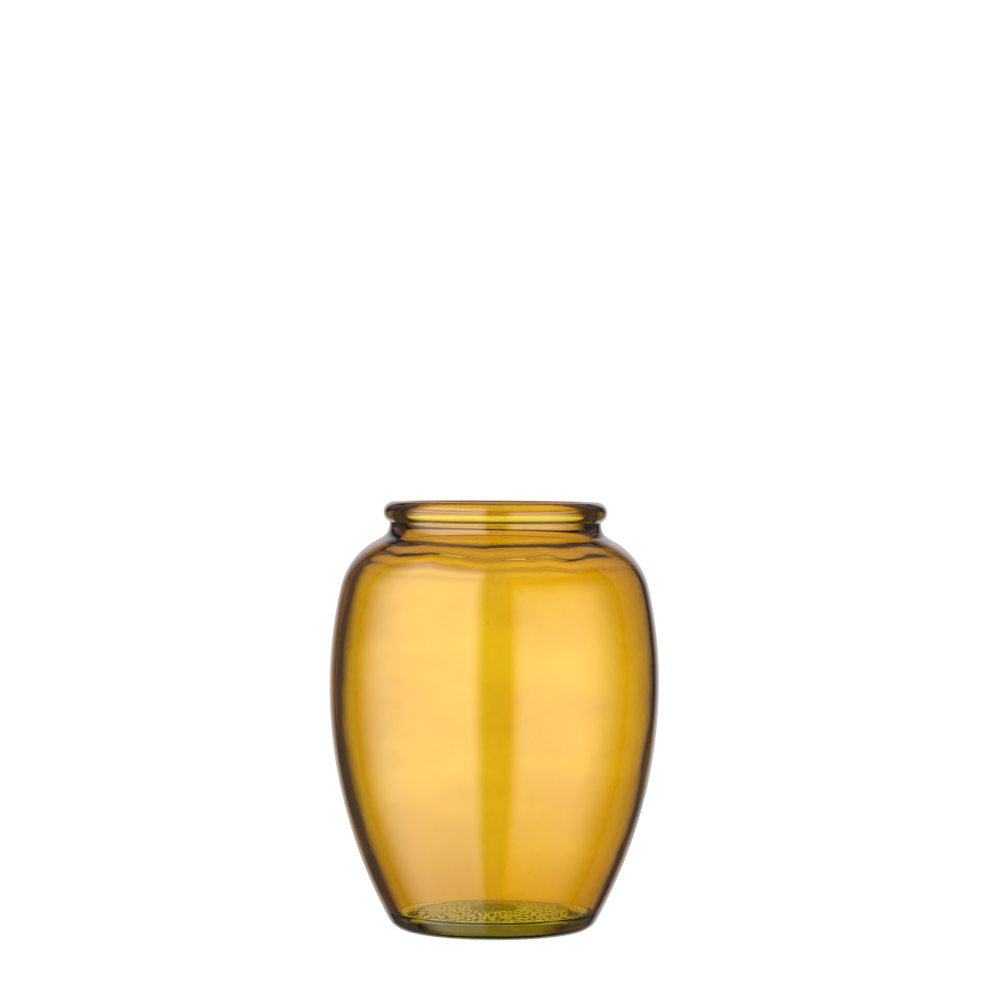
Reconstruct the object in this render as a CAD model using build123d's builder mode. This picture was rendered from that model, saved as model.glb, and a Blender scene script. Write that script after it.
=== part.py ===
"""Wide-mouthed, egg-shaped glass vase with a rolled lip.

One press-and-blow moulded vessel of clear, slightly green glass, and the thin
amber lacquer fired on its outside. Millimetres, +Z up, origin at the middle of
the ring that the vase stands on.
"""

import os
from math import acos, asin, cos, degrees, radians, sin, sqrt

from build123d import *

# Outside of the glass: a chain of tangent arcs, from the widest point down to
# the heel and up to the neck, with the round lip on top
height = 140.0
belly_radius = 53.9
belly_height = 80.5
lower_belly_arc = 160.0
upper_belly_arc = 143.0
upper_belly_sweep = 12.7
shoulder_arc = 23.4
shoulder_sweep = 49.3
shoulder_slope = 1.4
neck_fillet = 5.1
heel_radius = 6.5
lip_radius = 3.4
lip_centre_radius = 33.2

# Inside of the glass
wall = 3.2
throat_fillet = 10.0
floor_height = 5.6
floor_corner = 4.0
floor_crown = 2.8

# Underside: the standing ring, the raised knurled disc and its smooth spot
ring_inner_radius = 24.8
ring_step = 0.7
disc_rise = 0.8
spot_radius = 7.5
spot_step = 0.3
underside_round = 0.25

# Lacquer: from a line low on the heel, over the lip, to just inside the mouth
coat = 0.12
coat_heel_angle = -46.0
coat_lip_angle = 135.0

# Angles round the chain of arcs, from level outwards
heel_angle = -degrees(asin((belly_height - heel_radius) / (lower_belly_arc - heel_radius)))
shoulder_angle = upper_belly_sweep + shoulder_sweep


def off(point, distance, angle):
    """The point a distance away from another, at an angle from level."""
    return (point[0] + distance * cos(radians(angle)), point[1] + distance * sin(radians(angle)))


# Centres of the outside's arcs
lower_centre = (belly_radius - lower_belly_arc, belly_height)
upper_centre = (belly_radius - upper_belly_arc, belly_height)
heel_centre = off(lower_centre, lower_belly_arc - heel_radius, heel_angle)
shoulder_centre = off(upper_centre, upper_belly_arc - shoulder_arc, upper_belly_sweep)
slope_foot = off(shoulder_centre, shoulder_arc, shoulder_angle)
slope_top = off(slope_foot, shoulder_slope, shoulder_angle + 90)
neck_centre = off(slope_top, neck_fillet, shoulder_angle)
neck_radius = neck_centre[0] - neck_fillet
lip_centre = (lip_centre_radius, height - lip_radius)


def outside(outset, first_angle, last_angle):
    """The outside, outset from the glass, from an angle on the heel to one on the lip."""
    under_lip = -degrees(acos((neck_radius + outset - lip_centre_radius) / (lip_radius + outset)))
    CenterArc(heel_centre, heel_radius + outset, first_angle, heel_angle - first_angle)
    CenterArc(lower_centre, lower_belly_arc + outset, heel_angle, -heel_angle)
    CenterArc(upper_centre, upper_belly_arc + outset, 0, upper_belly_sweep)
    CenterArc(shoulder_centre, shoulder_arc + outset, upper_belly_sweep, shoulder_sweep)
    Line(off(slope_foot, outset, shoulder_angle), off(slope_top, outset, shoulder_angle))
    CenterArc(neck_centre, neck_fillet - outset, shoulder_angle + 180, -shoulder_angle)
    Line(off(neck_centre, neck_fillet - outset, 180), off(lip_centre, lip_radius + outset, under_lip))
    CenterArc(lip_centre, lip_radius + outset, under_lip, last_angle - under_lip)


# Places on the inside: the throat's fillet touches the throat and the inner
# shoulder, and the floor's corner touches the inner belly and the floor
throat_radius = lip_centre_radius - lip_radius
inner_shoulder = shoulder_arc - wall
fillet_reach = throat_radius + throat_fillet - shoulder_centre[0]
fillet_rise = sqrt((inner_shoulder + throat_fillet) ** 2 - fillet_reach**2)
throat_centre = (throat_radius + throat_fillet, shoulder_centre[1] + fillet_rise)
throat_angle = degrees(asin(fillet_rise / (inner_shoulder + throat_fillet)))
inner_belly = lower_belly_arc - wall
corner_drop = belly_height - floor_height - floor_corner
corner_angle = -degrees(asin(corner_drop / (inner_belly - floor_corner)))
corner_centre = off(lower_centre, inner_belly - floor_corner, corner_angle)
floor_arc = (corner_centre[0] ** 2 + floor_crown**2) / (2 * floor_crown)
disc_height = ring_step + disc_rise
spot_height = disc_height + spot_step

with BuildPart() as glass_vessel:
    with BuildSketch(Plane.XZ):
        with BuildLine():
            outside(0, -90, 180)
            Line(off(lip_centre, lip_radius, 180), off(throat_centre, throat_fillet, 180))
            CenterArc(throat_centre, throat_fillet, 180, throat_angle)
            CenterArc(shoulder_centre, inner_shoulder, throat_angle, upper_belly_sweep - throat_angle)
            CenterArc(upper_centre, upper_belly_arc - wall, upper_belly_sweep, -upper_belly_sweep)
            CenterArc(lower_centre, inner_belly, 0, corner_angle)
            CenterArc(corner_centre, floor_corner, corner_angle, -90 - corner_angle)
            RadiusArc((corner_centre[0], floor_height), (0, floor_height + floor_crown), -floor_arc)
            Line((0, floor_height + floor_crown), (0, spot_height))
            FilletPolyline(
                (0, spot_height),
                (spot_radius - spot_step, spot_height),
                (spot_radius, disc_height),
                (ring_inner_radius - ring_step, ring_step),
                (ring_inner_radius, 0),
                (heel_centre[0], 0),
                radius=underside_round,
            )
        make_face()
    revolve(axis=Axis.Z)

with BuildPart() as amber_coat:
    with BuildSketch(Plane.XZ):
        with BuildLine():
            outside(0, coat_heel_angle, coat_lip_angle)
            outside(coat, coat_heel_angle, coat_lip_angle)
            Line(
                off(heel_centre, heel_radius, coat_heel_angle),
                off(heel_centre, heel_radius + coat, coat_heel_angle),
            )
            Line(
                off(lip_centre, lip_radius, coat_lip_angle),
                off(lip_centre, lip_radius + coat, coat_lip_angle),
            )
        make_face()
    revolve(axis=Axis.Z)

glass_vessel.part.label = "glass_vessel"
amber_coat.part.label = "amber_coat"
os.makedirs("parts", exist_ok=True)
export_step(glass_vessel.part, "parts/glass_vessel.step")
export_step(amber_coat.part, "parts/amber_coat.step")
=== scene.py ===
import math

import bpy
from mathutils import Euler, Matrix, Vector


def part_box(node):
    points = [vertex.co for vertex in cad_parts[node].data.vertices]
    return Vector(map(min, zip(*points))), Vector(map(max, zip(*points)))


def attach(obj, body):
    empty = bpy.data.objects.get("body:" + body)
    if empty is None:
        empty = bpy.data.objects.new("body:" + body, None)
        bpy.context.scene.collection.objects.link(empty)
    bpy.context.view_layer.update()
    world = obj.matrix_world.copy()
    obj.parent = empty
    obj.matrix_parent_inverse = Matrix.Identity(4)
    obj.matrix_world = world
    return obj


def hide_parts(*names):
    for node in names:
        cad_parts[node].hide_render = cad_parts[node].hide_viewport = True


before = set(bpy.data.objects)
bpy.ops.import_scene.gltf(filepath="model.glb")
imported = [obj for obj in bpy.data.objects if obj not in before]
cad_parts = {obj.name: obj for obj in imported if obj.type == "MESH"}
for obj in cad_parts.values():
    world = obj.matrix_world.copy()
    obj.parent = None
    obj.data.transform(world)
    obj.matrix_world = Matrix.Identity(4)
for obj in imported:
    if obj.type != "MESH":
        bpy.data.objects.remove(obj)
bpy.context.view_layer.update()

# ------------------------------------------------------------ the glass vessel
# One piece of clear, slightly green soda-lime glass, pressed and then blown in
# an iron mould. The mould gives the outside its clean arcs. The inside only
# follows the air, so the wall is uneven and ripples where it settled under the neck.

mm = 0.001
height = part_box("glass_vessel")[1].z
belly_radius = 53.9 * mm
belly_height = 80.5 * mm
lower_belly_arc = 160.0 * mm
upper_belly_arc = 143.0 * mm
upper_belly_sweep = 12.7
shoulder_arc = 23.4 * mm
shoulder_sweep = 49.3
shoulder_slope = 1.4 * mm
neck_fillet = 5.1 * mm
heel_radius = 6.5 * mm
lip_radius = 3.4 * mm
lip_centre_radius = 33.2 * mm
crease_fillet = 0.3 * mm
wall = 3.2 * mm
throat_fillet = 10.0 * mm
floor_height = 5.6 * mm
floor_corner = 4.0 * mm
floor_crown = 2.8 * mm
ring_inner_radius = 24.8 * mm
ring_step = 0.7 * mm
disc_rise = 0.8 * mm
spot_radius = 7.5 * mm
spot_step = 0.3 * mm
coat_heel_angle = -46.0
coat_lip_angle = 135.0


def off(point, distance, angle):
    """The point a distance away from another, at an angle from level."""
    turn = math.radians(angle)
    return (point[0] + distance * math.cos(turn), point[1] + distance * math.sin(turn))


def arc(centre, radius, start, end, step):
    """Points along an arc of the outline, no further apart than the step."""
    count = max(1, math.ceil(abs(math.radians(end - start)) * radius / step))
    return [off(centre, radius, start + (end - start) * i / count) for i in range(count + 1)]


def line(start, end, step):
    """Points along a straight of the outline, no further apart than the step."""
    count = max(1, math.ceil(math.dist(start, end) / step))
    return [
        (start[0] + (end[0] - start[0]) * i / count, start[1] + (end[1] - start[1]) * i / count)
        for i in range(count + 1)
    ]


heel_angle = -math.degrees(math.asin((belly_height - heel_radius) / (lower_belly_arc - heel_radius)))
shoulder_angle = upper_belly_sweep + shoulder_sweep
lower_centre = (belly_radius - lower_belly_arc, belly_height)
upper_centre = (belly_radius - upper_belly_arc, belly_height)
heel_centre = off(lower_centre, lower_belly_arc - heel_radius, heel_angle)
shoulder_centre = off(upper_centre, upper_belly_arc - shoulder_arc, upper_belly_sweep)
slope_foot = off(shoulder_centre, shoulder_arc, shoulder_angle)
slope_top = off(slope_foot, shoulder_slope, shoulder_angle + 90)
neck_centre = off(slope_top, neck_fillet, shoulder_angle)
neck_radius = neck_centre[0] - neck_fillet
lip_centre = (lip_centre_radius, height - lip_radius)


def coated_outside(outset):
    """The outline under the lacquer, set out from the glass, from the heel up to the lip."""
    lip = lip_radius + outset
    crease = crease_fillet - outset
    crease_reach = neck_radius + crease_fillet - lip_centre_radius
    crease_drop = math.sqrt((lip_radius + crease_fillet) ** 2 - crease_reach**2)
    crease_centre = (neck_radius + crease_fillet, lip_centre[1] - crease_drop)
    under_lip = -math.degrees(math.atan2(crease_drop, crease_reach))
    return (
        arc(heel_centre, heel_radius + outset, coat_heel_angle, heel_angle, 0.4 * mm)
        + arc(lower_centre, lower_belly_arc + outset, heel_angle, 0, 2.6 * mm)[1:]
        + arc(upper_centre, upper_belly_arc + outset, 0, upper_belly_sweep, 2.2 * mm)[1:]
        + arc(shoulder_centre, shoulder_arc + outset, upper_belly_sweep, shoulder_angle, 0.9 * mm)[1:]
        + [off(slope_top, outset, shoulder_angle)]
        + arc(neck_centre, neck_fillet - outset, shoulder_angle + 180, 180, 0.45 * mm)[1:]
        + arc(crease_centre, crease, 180, 180 + under_lip, 0.12 * mm)
        + arc(lip_centre, lip, under_lip, coat_lip_angle, 0.45 * mm)[1:]
    )


throat_radius = lip_centre_radius - lip_radius
inner_shoulder = shoulder_arc - wall
fillet_reach = throat_radius + throat_fillet - shoulder_centre[0]
fillet_rise = math.sqrt((inner_shoulder + throat_fillet) ** 2 - fillet_reach**2)
throat_centre = (throat_radius + throat_fillet, shoulder_centre[1] + fillet_rise)
throat_angle = math.degrees(math.atan2(fillet_rise, fillet_reach))
inner_belly = lower_belly_arc - wall
corner_drop = belly_height - floor_height - floor_corner
corner_angle = -math.degrees(math.asin(corner_drop / (inner_belly - floor_corner)))
corner_centre = off(lower_centre, inner_belly - floor_corner, corner_angle)
floor_arc = (corner_centre[0] ** 2 + floor_crown**2) / (2 * floor_crown)
floor_centre = (0.0, floor_height + floor_crown - floor_arc)
floor_edge = 90 - math.degrees(math.asin(corner_centre[0] / floor_arc))
disc_height = ring_step + disc_rise
spot_height = disc_height + spot_step

lip_inside = arc(lip_centre, lip_radius, coat_lip_angle, 180, 0.45 * mm)[1:]
throat = (
    line(off(lip_centre, lip_radius, 180), off(throat_centre, throat_fillet, 180), 0.8 * mm)[1:]
    + arc(throat_centre, throat_fillet, 180, 180 + throat_angle, 0.45 * mm)[1:]
)
cavity = (
    arc(shoulder_centre, inner_shoulder, throat_angle, upper_belly_sweep, 0.55 * mm)[1:]
    + arc(upper_centre, upper_belly_arc - wall, upper_belly_sweep, 0, 1.6 * mm)[1:]
    + arc(lower_centre, inner_belly, 0, corner_angle, 1.6 * mm)[1:]
    + arc(corner_centre, floor_corner, corner_angle, -90, 0.45 * mm)[1:]
    + arc(floor_centre, floor_arc, floor_edge, 90, 2.0 * mm)[1:]
)
spot = line((0, spot_height), (spot_radius - spot_step, spot_height), 1.5 * mm)
disc = line((spot_radius, disc_height), (ring_inner_radius - ring_step, ring_step), 0.42 * mm)
ring = line((ring_inner_radius, 0), (heel_centre[0], 0), 1.2 * mm)
bare_heel = arc(heel_centre, heel_radius, -90, coat_heel_angle, 0.4 * mm)[1:-1]


def outline(name, stretches):
    """A line of points in the XZ plane. Each stretch is its points and its marks, and a mark is
    the pair of weights that its first and last points carry."""
    places = [p for points, marks in stretches for p in points]
    data = bpy.data.meshes.new(name)
    edges = [(i, i + 1) for i in range(len(places) - 1)]
    data.from_pydata([(r, 0.0, z) for r, z in places], edges, [])
    for mark in ("inner", "bonded", "knurled"):
        weights = []
        for points, marks in stretches:
            first, last = marks.get(mark, (0.0, 0.0))
            steps = max(1, len(points) - 1)
            weights += [first + (last - first) * i / steps for i in range(len(points))]
        data.attributes.new(mark, "FLOAT", "POINT").data.foreach_set("value", weights)
    piece = bpy.data.objects.new(name, data)
    bpy.context.scene.collection.objects.link(piece)
    return piece


class Wire:
    """A socket of a node tree. Arithmetic on wires adds Math nodes."""

    def __init__(self, socket):
        self.socket = socket

    def node(self, kind, settings, inputs):
        """Adds a node to this wire's tree and returns its first output."""
        return add_node(self.socket.id_data, kind, settings, inputs)

    def other(self, name):
        """Another output of the node that this wire leaves."""
        return Wire(self.socket.node.outputs[name])

    def math(self, operation, *others):
        inputs = dict(enumerate((self, *others)))
        return self.node("ShaderNodeMath", {"operation": operation}, inputs)

    def __add__(self, value):
        return self.math("ADD", value)

    def __sub__(self, value):
        return self.math("SUBTRACT", value)

    def __rsub__(self, value):
        return self.node("ShaderNodeMath", {"operation": "SUBTRACT"}, {0: value, 1: self})

    def __mul__(self, value):
        return self.math("MULTIPLY", value)

    def __truediv__(self, value):
        return self.math("DIVIDE", value)

    def __rtruediv__(self, value):
        return self.node("ShaderNodeMath", {"operation": "DIVIDE"}, {0: value, 1: self})

    __radd__ = __add__
    __rmul__ = __mul__


def add_node(tree, kind, settings, inputs):
    """Adds a node of any kind, with its settings set first, and links or sets its inputs."""
    node = tree.nodes.new(kind)
    for name, value in settings.items():
        setattr(node, name, value)
    for name, value in inputs.items():
        if isinstance(value, Wire):
            tree.links.new(value.socket, node.inputs[name])
        else:
            node.inputs[name].default_value = value
    shown = [socket for socket in node.outputs if socket.enabled]
    return Wire(shown[0]) if shown else None


def scaled(vector, factor):
    """A vector wire times a number or a number's wire."""
    inputs = {"Vector": vector, "Scale": factor}
    return vector.node("ShaderNodeVectorMath", {"operation": "SCALE"}, inputs)


def ramp(value, low, high):
    """Rises smoothly from 0 to 1 as a value goes from low to high."""
    settings = {"interpolation_type": "SMOOTHSTEP"}
    inputs = {"Value": value, "From Min": low, "From Max": high}
    return value.node("ShaderNodeMapRange", settings, inputs)


def turning_tree(name):
    """Turns an outline about Z, as a mould does, and then makes its walls as uneven as blown glass."""
    tree = bpy.data.node_groups.new(name, "GeometryNodeTree")
    sizes = {
        "Segments": ("NodeSocketInt", 264),
        "Mould wave": ("NodeSocketFloat", 0.0),
        "Wall wave": ("NodeSocketFloat", 0.0),
        "Core shift": ("NodeSocketVector", (0.0, 0.0, 0.0)),
        "Settle ripple": ("NodeSocketFloat", 0.0),
        "Ripple height": ("NodeSocketFloat", 0.0),
        "Ripple reach": ("NodeSocketFloat", 1.0),
        "Ripple pitch": ("NodeSocketFloat", 1.0),
        "Knurl height": ("NodeSocketFloat", 0.0),
        "Knurl pitch": ("NodeSocketFloat", 1.0),
        "Bubbles per square metre": ("NodeSocketFloat", 0.0),
        "Bubble radius": ("NodeSocketFloat", 0.0),
        "Bubble depth": ("NodeSocketFloat", 0.0),
        "Random seed": ("NodeSocketInt", 7),
        "Material": ("NodeSocketMaterial", None),
    }
    tree.interface.new_socket("Outline", in_out="INPUT", socket_type="NodeSocketGeometry")
    for label, (kind, value) in sizes.items():
        socket = tree.interface.new_socket(label, in_out="INPUT", socket_type=kind)
        if value is not None:
            socket.default_value = value
    tree.interface.new_socket("Piece", in_out="OUTPUT", socket_type="NodeSocketGeometry")
    given = add_node(tree, "NodeGroupInput", {}, {})

    def node(kind, settings, inputs):
        return add_node(tree, kind, settings, inputs)

    def sampled(kind, value):
        inputs = {"Geometry": given, "Value": value, "Index": ring_number}
        return node("GeometryNodeSampleIndex", {"data_type": kind, "domain": "POINT"}, inputs)

    def marked(mark):
        return node("GeometryNodeInputNamedAttribute", {"data_type": "FLOAT"}, {"Name": mark})

    segments = given.other("Segments")
    columns = segments + 1
    count = node("GeometryNodeAttributeDomainSize", {}, {"Geometry": given})
    grid = node("GeometryNodeMeshGrid", {}, {"Vertices X": count, "Vertices Y": columns})
    index = node("GeometryNodeInputIndex", {}, {})
    ring_number = (index / columns).math("FLOOR")
    turn = (index - ring_number * columns) / segments * math.tau
    place = sampled("FLOAT_VECTOR", node("GeometryNodeInputPosition", {}, {}))
    along = node("ShaderNodeSeparateXYZ", {}, {0: place})
    turned = node(
        "ShaderNodeCombineXYZ",
        {},
        {
            "X": along * turn.math("COSINE"),
            "Y": along * turn.math("SINE"),
            "Z": along.other("Z"),
        },
    )
    shell = grid
    for mark in ("inner", "bonded", "knurled"):
        shell = node(
            "GeometryNodeStoreNamedAttribute",
            {"data_type": "FLOAT", "domain": "POINT"},
            {"Geometry": shell, "Name": mark, "Value": sampled("FLOAT", marked(mark))},
        )
    shell = node("GeometryNodeSetPosition", {}, {"Geometry": shell, "Position": turned})
    shell = node("GeometryNodeMergeByDistance", {}, {"Geometry": shell, "Distance": 0.001 * mm})
    shell = node("GeometryNodeFlipFaces", {}, {"Mesh": shell})

    point = node("GeometryNodeInputPosition", {}, {})
    normal = node("GeometryNodeInputNormal", {}, {})
    across = node("ShaderNodeSeparateXYZ", {}, {0: point})
    level = across.other("Z")
    inner = marked("inner")
    seed = given.other("Random seed")

    def noise(vector, scale, seed_step):
        inputs = {"Vector": vector, "W": seed + seed_step, "Scale": scale}
        inputs.update({"Detail": 1.0, "Roughness": 0.4})
        return node("ShaderNodeTexNoise", {"noise_dimensions": "4D"}, inputs) - 0.5

    clear_of_foot = ramp(level, 8 * mm, 30 * mm)
    mould_wave = noise(point, 24.0, 0.37) * given.other("Mould wave") * clear_of_foot
    long_wave = noise(point, 26.0, 3.1) * given.other("Wall wave")
    squashed = node(
        "ShaderNodeVectorMath", {"operation": "MULTIPLY"}, {0: point, 1: (1.0, 1.0, 1.9)}
    )
    short_wave = noise(squashed, 85.0, 5.7) * given.other("Wall wave") * 0.12
    from_ripple = (level - given.other("Ripple height")) / given.other("Ripple reach")
    ripple_band = 1 - ramp(from_ripple.math("ABSOLUTE"), 0.25, 1.0)
    wander = noise(point, 30.0, 9.2) * 1.6 + noise(point, 75.0, 11.3) * 0.9
    phase = (level / given.other("Ripple pitch") + wander) * math.tau
    patch = ramp(0 - across.other("Y"), 12 * mm, 34 * mm)
    ripple = phase.math("SINE") * ripple_band * patch * given.other("Settle ripple")
    push = inner * (long_wave + short_wave + ripple)
    outwards = node("ShaderNodeVectorMath", {"operation": "MULTIPLY"}, {0: point, 1: (1.0, 1.0, 0.0)})
    outwards = node("ShaderNodeVectorMath", {"operation": "NORMALIZE"}, {0: outwards})

    knurl_pitch = given.other("Knurl pitch")
    cells = {"Vector": point, "Scale": 1 / knurl_pitch.math("MAXIMUM", mm)}
    cell = node(
        "ShaderNodeTexVoronoi",
        {"voronoi_dimensions": "2D", "feature": "F1"},
        {**cells, "Randomness": 0.62},
    )
    dome = 1 - ramp(cell, 0.1, 0.55)
    push = push + dome * marked("knurled") * given.other("Knurl height")
    offset = node(
        "ShaderNodeVectorMath",
        {"operation": "ADD"},
        {0: scaled(normal, push), 1: scaled(given.other("Core shift"), inner)},
    )
    offset = node(
        "ShaderNodeVectorMath", {"operation": "ADD"}, {0: offset, 1: scaled(outwards, mould_wave)}
    )
    shell = node("GeometryNodeSetPosition", {}, {"Geometry": shell, "Offset": offset})

    wall_face = inner.math("GREATER_THAN", 0.9) * level.math("GREATER_THAN", 25 * mm)
    spots = node(
        "GeometryNodeDistributePointsOnFaces",
        {"distribute_method": "RANDOM"},
        {
            "Mesh": shell,
            "Selection": wall_face,
            "Density": given.other("Bubbles per square metre"),
            "Seed": seed,
        },
    )
    lifted = scaled(spots.other("Normal"), 0 - given.other("Bubble depth"))
    spots = node("GeometryNodeSetPosition", {}, {"Geometry": spots, "Offset": lifted})
    bubble = node("GeometryNodeMeshUVSphere", {}, {"Segments": 12, "Rings": 8, "Radius": 1.0})
    bubble = node("GeometryNodeFlipFaces", {}, {"Mesh": bubble})
    sizes_each = node(
        "FunctionNodeRandomValue", {"data_type": "FLOAT"}, {"Min": 0.35, "Max": 1.0, "Seed": seed}
    )
    bubble_size = sizes_each * given.other("Bubble radius")
    stretch = node(
        "ShaderNodeCombineXYZ", {}, {"X": bubble_size, "Y": bubble_size, "Z": bubble_size * 1.5}
    )
    bubbles = node(
        "GeometryNodeInstanceOnPoints", {}, {"Points": spots, "Instance": bubble, "Scale": stretch}
    )
    joined = add_node(tree, "GeometryNodeJoinGeometry", {}, {})
    for part in (bubbles, shell):
        tree.links.new(part.socket, joined.socket.node.inputs[0])
    real = node("GeometryNodeRealizeInstances", {}, {"Geometry": joined})
    bonded = marked("bonded").math("GREATER_THAN", 0.99)
    masked = node(
        "GeometryNodeStoreNamedAttribute",
        {"data_type": "FLOAT", "domain": "FACE"},
        {"Geometry": real, "Name": "under_film", "Value": bonded},
    )
    smooth = node(
        "GeometryNodeSetShadeSmooth", {"domain": "FACE"}, {"Geometry": masked, "Shade Smooth": True}
    )
    bend = node("GeometryNodeInputMeshEdgeAngle", {}, {}).math("GREATER_THAN", math.radians(35))
    smooth = node(
        "GeometryNodeSetShadeSmooth",
        {"domain": "EDGE"},
        {"Geometry": smooth, "Selection": bend, "Shade Smooth": False},
    )
    painted = node(
        "GeometryNodeSetMaterial", {}, {"Geometry": smooth, "Material": given.other("Material")}
    )
    add_node(tree, "NodeGroupOutput", {}, {"Piece": painted})
    return tree


def turned(piece, tree, values):
    """Runs the tree on an outline with the sizes named, and keeps the result as a plain mesh."""
    modifier = piece.modifiers.new("turned", "NODES")
    modifier.node_group = tree
    for socket in tree.interface.items_tree:
        if socket.item_type == "SOCKET" and socket.name in values:
            modifier[socket.identifier] = values[socket.name]
    depsgraph = bpy.context.evaluated_depsgraph_get()
    data = bpy.data.meshes.new_from_object(piece.evaluated_get(depsgraph), depsgraph=depsgraph)
    piece.modifiers.clear()
    while data.materials[0] is None:
        data.materials.pop(index=0)
    piece.data = data
    data.name = piece.name
    return piece


def glass_material(name, mask, tint, absorbed, reach, settings):
    """Clear glass, or lacquer, that bends light only where it meets air: the mask is 1 where two
    bonded layers touch. The tint varies over the surface, and the body colour lies in its depth."""
    material = bpy.data.materials.new(name)
    material.use_nodes = True
    tree = material.node_tree
    tree.nodes.clear()
    air = add_node(tree, "ShaderNodeBsdfPrincipled", {}, {"Transmission Weight": 1.0, **settings})
    if tint is not None:
        tree.links.new(tint(tree).socket, air.socket.node.inputs["Base Color"])
    bond = add_node(tree, "ShaderNodeBsdfTransparent", {}, {"Color": (1.0, 1.0, 1.0, 1.0)})
    touching = add_node(tree, "ShaderNodeAttribute", {"attribute_name": mask}, {}).other("Fac")
    surface = add_node(tree, "ShaderNodeMixShader", {}, {0: touching, 1: air, 2: bond})
    inputs = {"Color": absorbed, "Density": 1 / reach}
    depth = add_node(tree, "ShaderNodeVolumeAbsorption", {}, inputs)
    add_node(tree, "ShaderNodeOutputMaterial", {}, {"Surface": surface, "Volume": depth})
    return material


green_glass = glass_material(
    "green_tinted_glass",
    mask="under_film",
    tint=None,
    absorbed=(0.45, 0.84, 0.0, 1.0),
    reach=52 * mm,
    settings={"Base Color": (1.0, 1.0, 1.0, 1.0), "Roughness": 0.0, "IOR": 1.52},
)
vessel = outline(
    "pressed_glass_vessel",
    [
        (spot, {}),
        (disc, {"knurled": (1.0, 1.0)}),
        (ring, {}),
        (bare_heel, {}),
        (coated_outside(0), {"bonded": (1.0, 1.0)}),
        (lip_inside, {}),
        (throat, {"inner": (0.0, 1.0)}),
        (cavity, {"inner": (1.0, 1.0)}),
    ],
)
turning = turning_tree("turned_glass")
turned(
    vessel,
    turning,
    {
        "Segments": 264,
        "Mould wave": 0.18 * mm,
        "Wall wave": 0.7 * mm,
        "Core shift": (0.6 * mm, 0.1 * mm, 0.0),
        "Settle ripple": 0.12 * mm,
        "Ripple height": 121.5 * mm,
        "Ripple reach": 7.0 * mm,
        "Ripple pitch": 3.2 * mm,
        "Knurl height": 0.42 * mm,
        "Knurl pitch": 1.6 * mm,
        "Bubbles per square metre": 700.0,
        "Bubble radius": 0.2 * mm,
        "Bubble depth": 1.5 * mm,
        "Random seed": 7,
        "Material": green_glass,
    },
)
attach(vessel, "root")
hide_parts("glass_vessel")

# ------------------------------------------------------------- the amber coat
# A thin film of translucent amber lacquer, sprayed on the turning vessel and
# fired. It covers the outside from low on the heel to just inside the mouth,
# and it is a little deeper in some places than in others.

coat = 0.12 * mm
bond_gap = 0.02 * mm


def cloudy_amber(tree):
    """The lacquer's uneven depth, as a tint over the surface that lies in level clouds. The tint is
    also deeper towards the foot and round the neck."""
    place = add_node(tree, "ShaderNodeTexCoord", {}, {}).other("Object")
    level = place.node("ShaderNodeSeparateXYZ", {}, {0: place}).other("Z")
    flattened = place.node(
        "ShaderNodeVectorMath", {"operation": "MULTIPLY"}, {0: place, 1: (1.0, 1.0, 2.0)}
    )
    cloud = place.node(
        "ShaderNodeTexNoise",
        {"noise_dimensions": "3D"},
        {"Vector": flattened, "Scale": 19.0, "Detail": 3.0, "Roughness": 0.5},
    )
    paleness = 0.45 + 0.55 * ramp(cloud, 0.38, 0.62)
    # darker towards the foot and round the neck
    paleness = paleness * ramp(level, 6 * mm, 36 * mm) * (1 - ramp(level, 110 * mm, 126 * mm))
    return place.node(
        "ShaderNodeMix",
        {"data_type": "RGBA", "blend_type": "MIX"},
        {"Factor": paleness, 6: (0.77, 0.63, 0.4, 1.0), 7: (1.0, 1.0, 1.0, 1.0)},
    )


amber = glass_material(
    "fired_amber_lacquer",
    mask="under_film",
    tint=cloudy_amber,
    absorbed=(0.986, 0.892, 0.0, 1.0),
    reach=0.033 * mm,
    settings={
        "Roughness": 0.0,
        "IOR": 1.52,
        "Coat Weight": 1.0,
        "Coat Roughness": 0.03,
        "Coat IOR": 1.6,
    },
)
film = outline(
    "amber_lacquer_coat",
    [
        (coated_outside(coat), {}),
        (coated_outside(bond_gap)[::-1], {"bonded": (1.0, 1.0)}),
        (coated_outside(coat)[:1], {}),
    ],
)
turned(
    film,
    turning,
    {"Segments": 264, "Mould wave": 0.18 * mm, "Random seed": 7, "Material": amber},
)
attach(film, "root")
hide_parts("amber_coat")

# ------------------------------------------------------- floor, light, camera
# A pale table in a white room, seen only by the camera. Two tall soft banks of
# light stand either side of it, the left one higher and a little brighter, and
# a screen behind the vase is narrow enough to leave its edges dark.

floor_radius = 0.45
dome_radius = 1.5
dome_height = 80 * mm


def staged(name, points, faces, material):
    data = bpy.data.meshes.new(name)
    data.from_pydata(points, [], faces)
    data.materials.append(material)
    piece = bpy.data.objects.new(name, data)
    bpy.context.scene.collection.objects.link(piece)
    return piece


def stage_material(name, grey, glow):
    """A matt grey with a glow, which is a function that makes the glow's wire in a tree."""
    material = bpy.data.materials.new(name)
    material.use_nodes = True
    tree = material.node_tree
    shader = tree.nodes["Principled BSDF"]
    shader.inputs["Base Color"].default_value = (grey, grey, grey, 1.0)
    shader.inputs["Roughness"].default_value = 0.9
    shader.inputs["Specular IOR Level"].default_value = 0.0
    shader.inputs["Emission Strength"].default_value = 1.0
    tree.links.new(glow(tree).socket, shader.inputs["Emission Color"])
    return material


def ease(value, low, high):
    share = min(1.0, max(0.0, (value - low) / (high - low)))
    return share * share * (3 - 2 * share)


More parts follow.
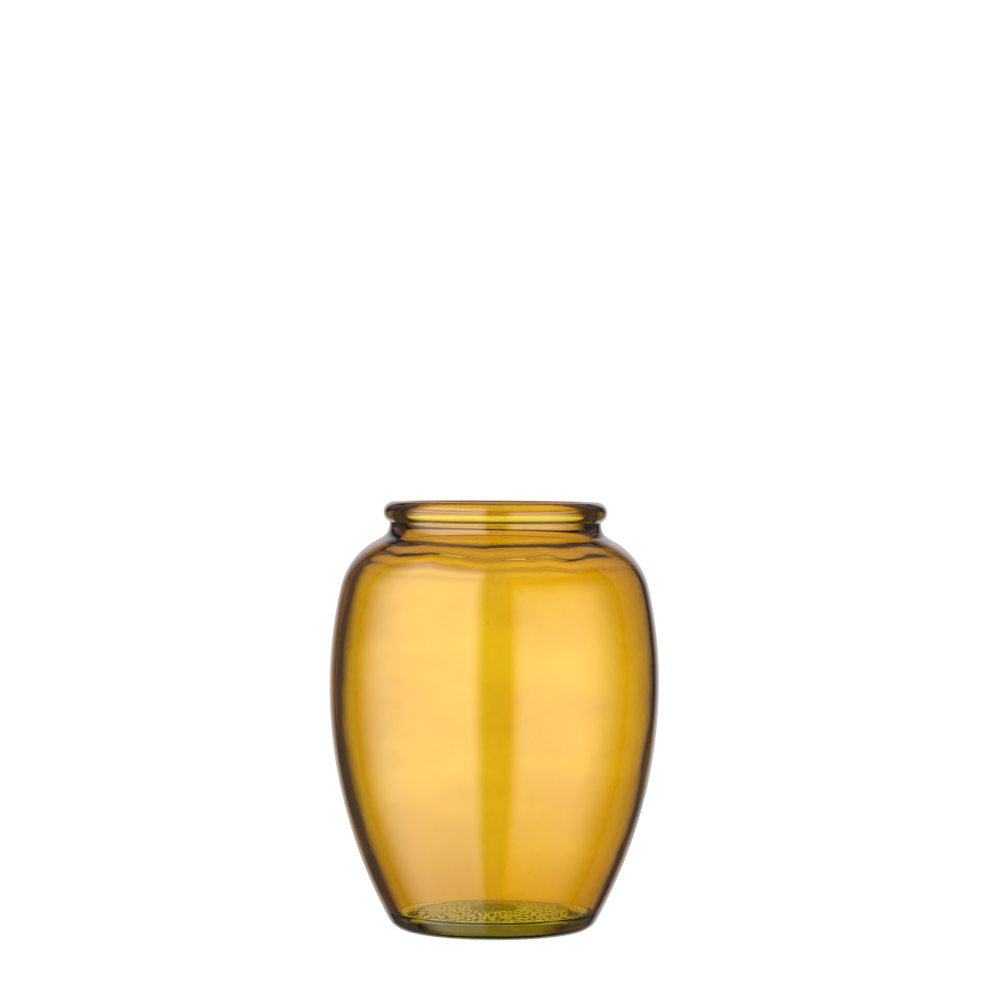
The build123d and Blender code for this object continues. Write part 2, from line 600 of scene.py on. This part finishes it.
def soft_bank(name, bearings, slopes, glow, seen_through):
    """A patch of the dome round the vase that glows and fades towards its edges. Bearings are
    counted from the camera's side towards +X, and slopes from level upwards. Each is four angles:
    dark, full, full and dark again. A ray that went straight through the glass sees the last
    brightness instead of the glow."""

    def glowing(tree):
        path = add_node(tree, "ShaderNodeLightPath", {}, {})
        refracted = path.other("Transmission Depth").math("GREATER_THAN", 0.5)
        straight = refracted * path.other("Glossy Depth").math("LESS_THAN", 0.5)
        share = add_node(tree, "ShaderNodeAttribute", {"attribute_name": "share"}, {}).other("Fac")
        return share * (glow + straight * (seen_through - glow))

    across, up = 40, 30
    points, shares = [], []
    for i in range(across + 1):
        bearing = bearings[0] + (bearings[3] - bearings[0]) * i / across
        for j in range(up + 1):
            slope = slopes[0] + (slopes[3] - slopes[0]) * j / up
            reach, rise = off((0.0, dome_height), dome_radius, slope)
            x, y = off((0.0, 0.0), reach, bearing - 90)
            points.append((x, y, rise))
            share = ease(bearing, *bearings[:2]) * (1 - ease(bearing, *bearings[2:]))
            shares.append(share * ease(slope, *slopes[:2]) * (1 - ease(slope, *slopes[2:])))
    rows = up + 1
    faces = [
        (i * rows + j, (i + 1) * rows + j, (i + 1) * rows + j + 1, i * rows + j + 1)
        for i in range(across)
        for j in range(up)
    ]
    bank = staged(name, points, faces, stage_material(name, 0.0, glowing))
    bank.data.attributes.new("share", "FLOAT", "POINT").data.foreach_set("value", shares)
    bank.visible_camera = False
    return bank


def table_top(name, grey, radius, level, glows):
    """A round table top. Its four glows are the glow in the middle, the glow at the edge, and the
    two distances from the axis between which the first turns into the second."""

    def glowing(tree):
        place = add_node(tree, "ShaderNodeTexCoord", {}, {}).other("Object")
        reach = place.node("ShaderNodeVectorMath", {"operation": "LENGTH"}, {0: place}).other("Value")
        middle, edge, near, far = glows
        return middle + (edge - middle) * ramp(reach, near, far)

    points = [(*off((0.0, 0.0), radius, 5 * i), level) for i in range(72)]
    return staged(name, points, [list(range(72))], stage_material(name, grey, glowing))


# The table glows so it reads evenly white. Its glow is lower within 40 to 120 mm of the axis, a
# painted faint shade round the foot of the vase.
pale = table_top("pale_table", 0.86, floor_radius, -0.05 * mm, (0.9, 1.0, 40 * mm, 120 * mm))
pale.visible_glossy = False
pale.visible_transmission = False

soft_bank("left_bank", (-112, -75, -17, -5), (-90, -15, 52, 66), 1.65, 1.0)
soft_bank("right_bank", (9, 22, 55, 105), (-62, -12, 0, 42), 1.5, 1.0)
soft_bank("back_screen", (145, 166, 194, 215), (-50, -40, 18, 34), 0.6, 1.2)

world = bpy.data.worlds.new("white_room")
bpy.context.scene.world = world
world.use_nodes = True
world.node_tree.nodes.clear()
seen = add_node(world.node_tree, "ShaderNodeLightPath", {}, {})
straight = seen.other("Transmission Depth").math("GREATER_THAN", 0.5)
straight = straight * seen.other("Glossy Depth").math("LESS_THAN", 0.5)
direction = add_node(world.node_tree, "ShaderNodeTexCoord", {}, {})
steepness = direction.node("ShaderNodeSeparateXYZ", {}, {0: direction}).other("Z")
below = 1 - ramp(steepness, -0.24, -0.14)
ambient = 0.08 + 0.1 * ramp(steepness, 0.1, 0.7)
shade = ambient + seen + 0.5 * straight * below
white = {"Color": (1.0, 1.0, 1.0, 1.0), "Strength": shade}
sky = add_node(world.node_tree, "ShaderNodeBackground", {}, white)
add_node(world.node_tree, "ShaderNodeOutputWorld", {}, {"Surface": sky})

camera_data = bpy.data.cameras.new("camera")
camera_data.lens = 125.1
camera_data.sensor_width = 36.0
camera = bpy.data.objects.new("camera", camera_data)
camera.location = (1.4 * mm, -1.14, 0.155)
camera.rotation_euler = Euler((math.radians(90 - 0.72), math.radians(-0.36), 0.0), "XYZ")
bpy.context.scene.collection.objects.link(camera)
bpy.context.scene.camera = camera

bpy.context.scene.view_settings.view_transform = "Standard"
bpy.context.scene.cycles.max_bounces = 40
bpy.context.scene.cycles.transmission_bounces = 40
bpy.context.scene.cycles.glossy_bounces = 12
bpy.context.scene.cycles.transparent_max_bounces = 64
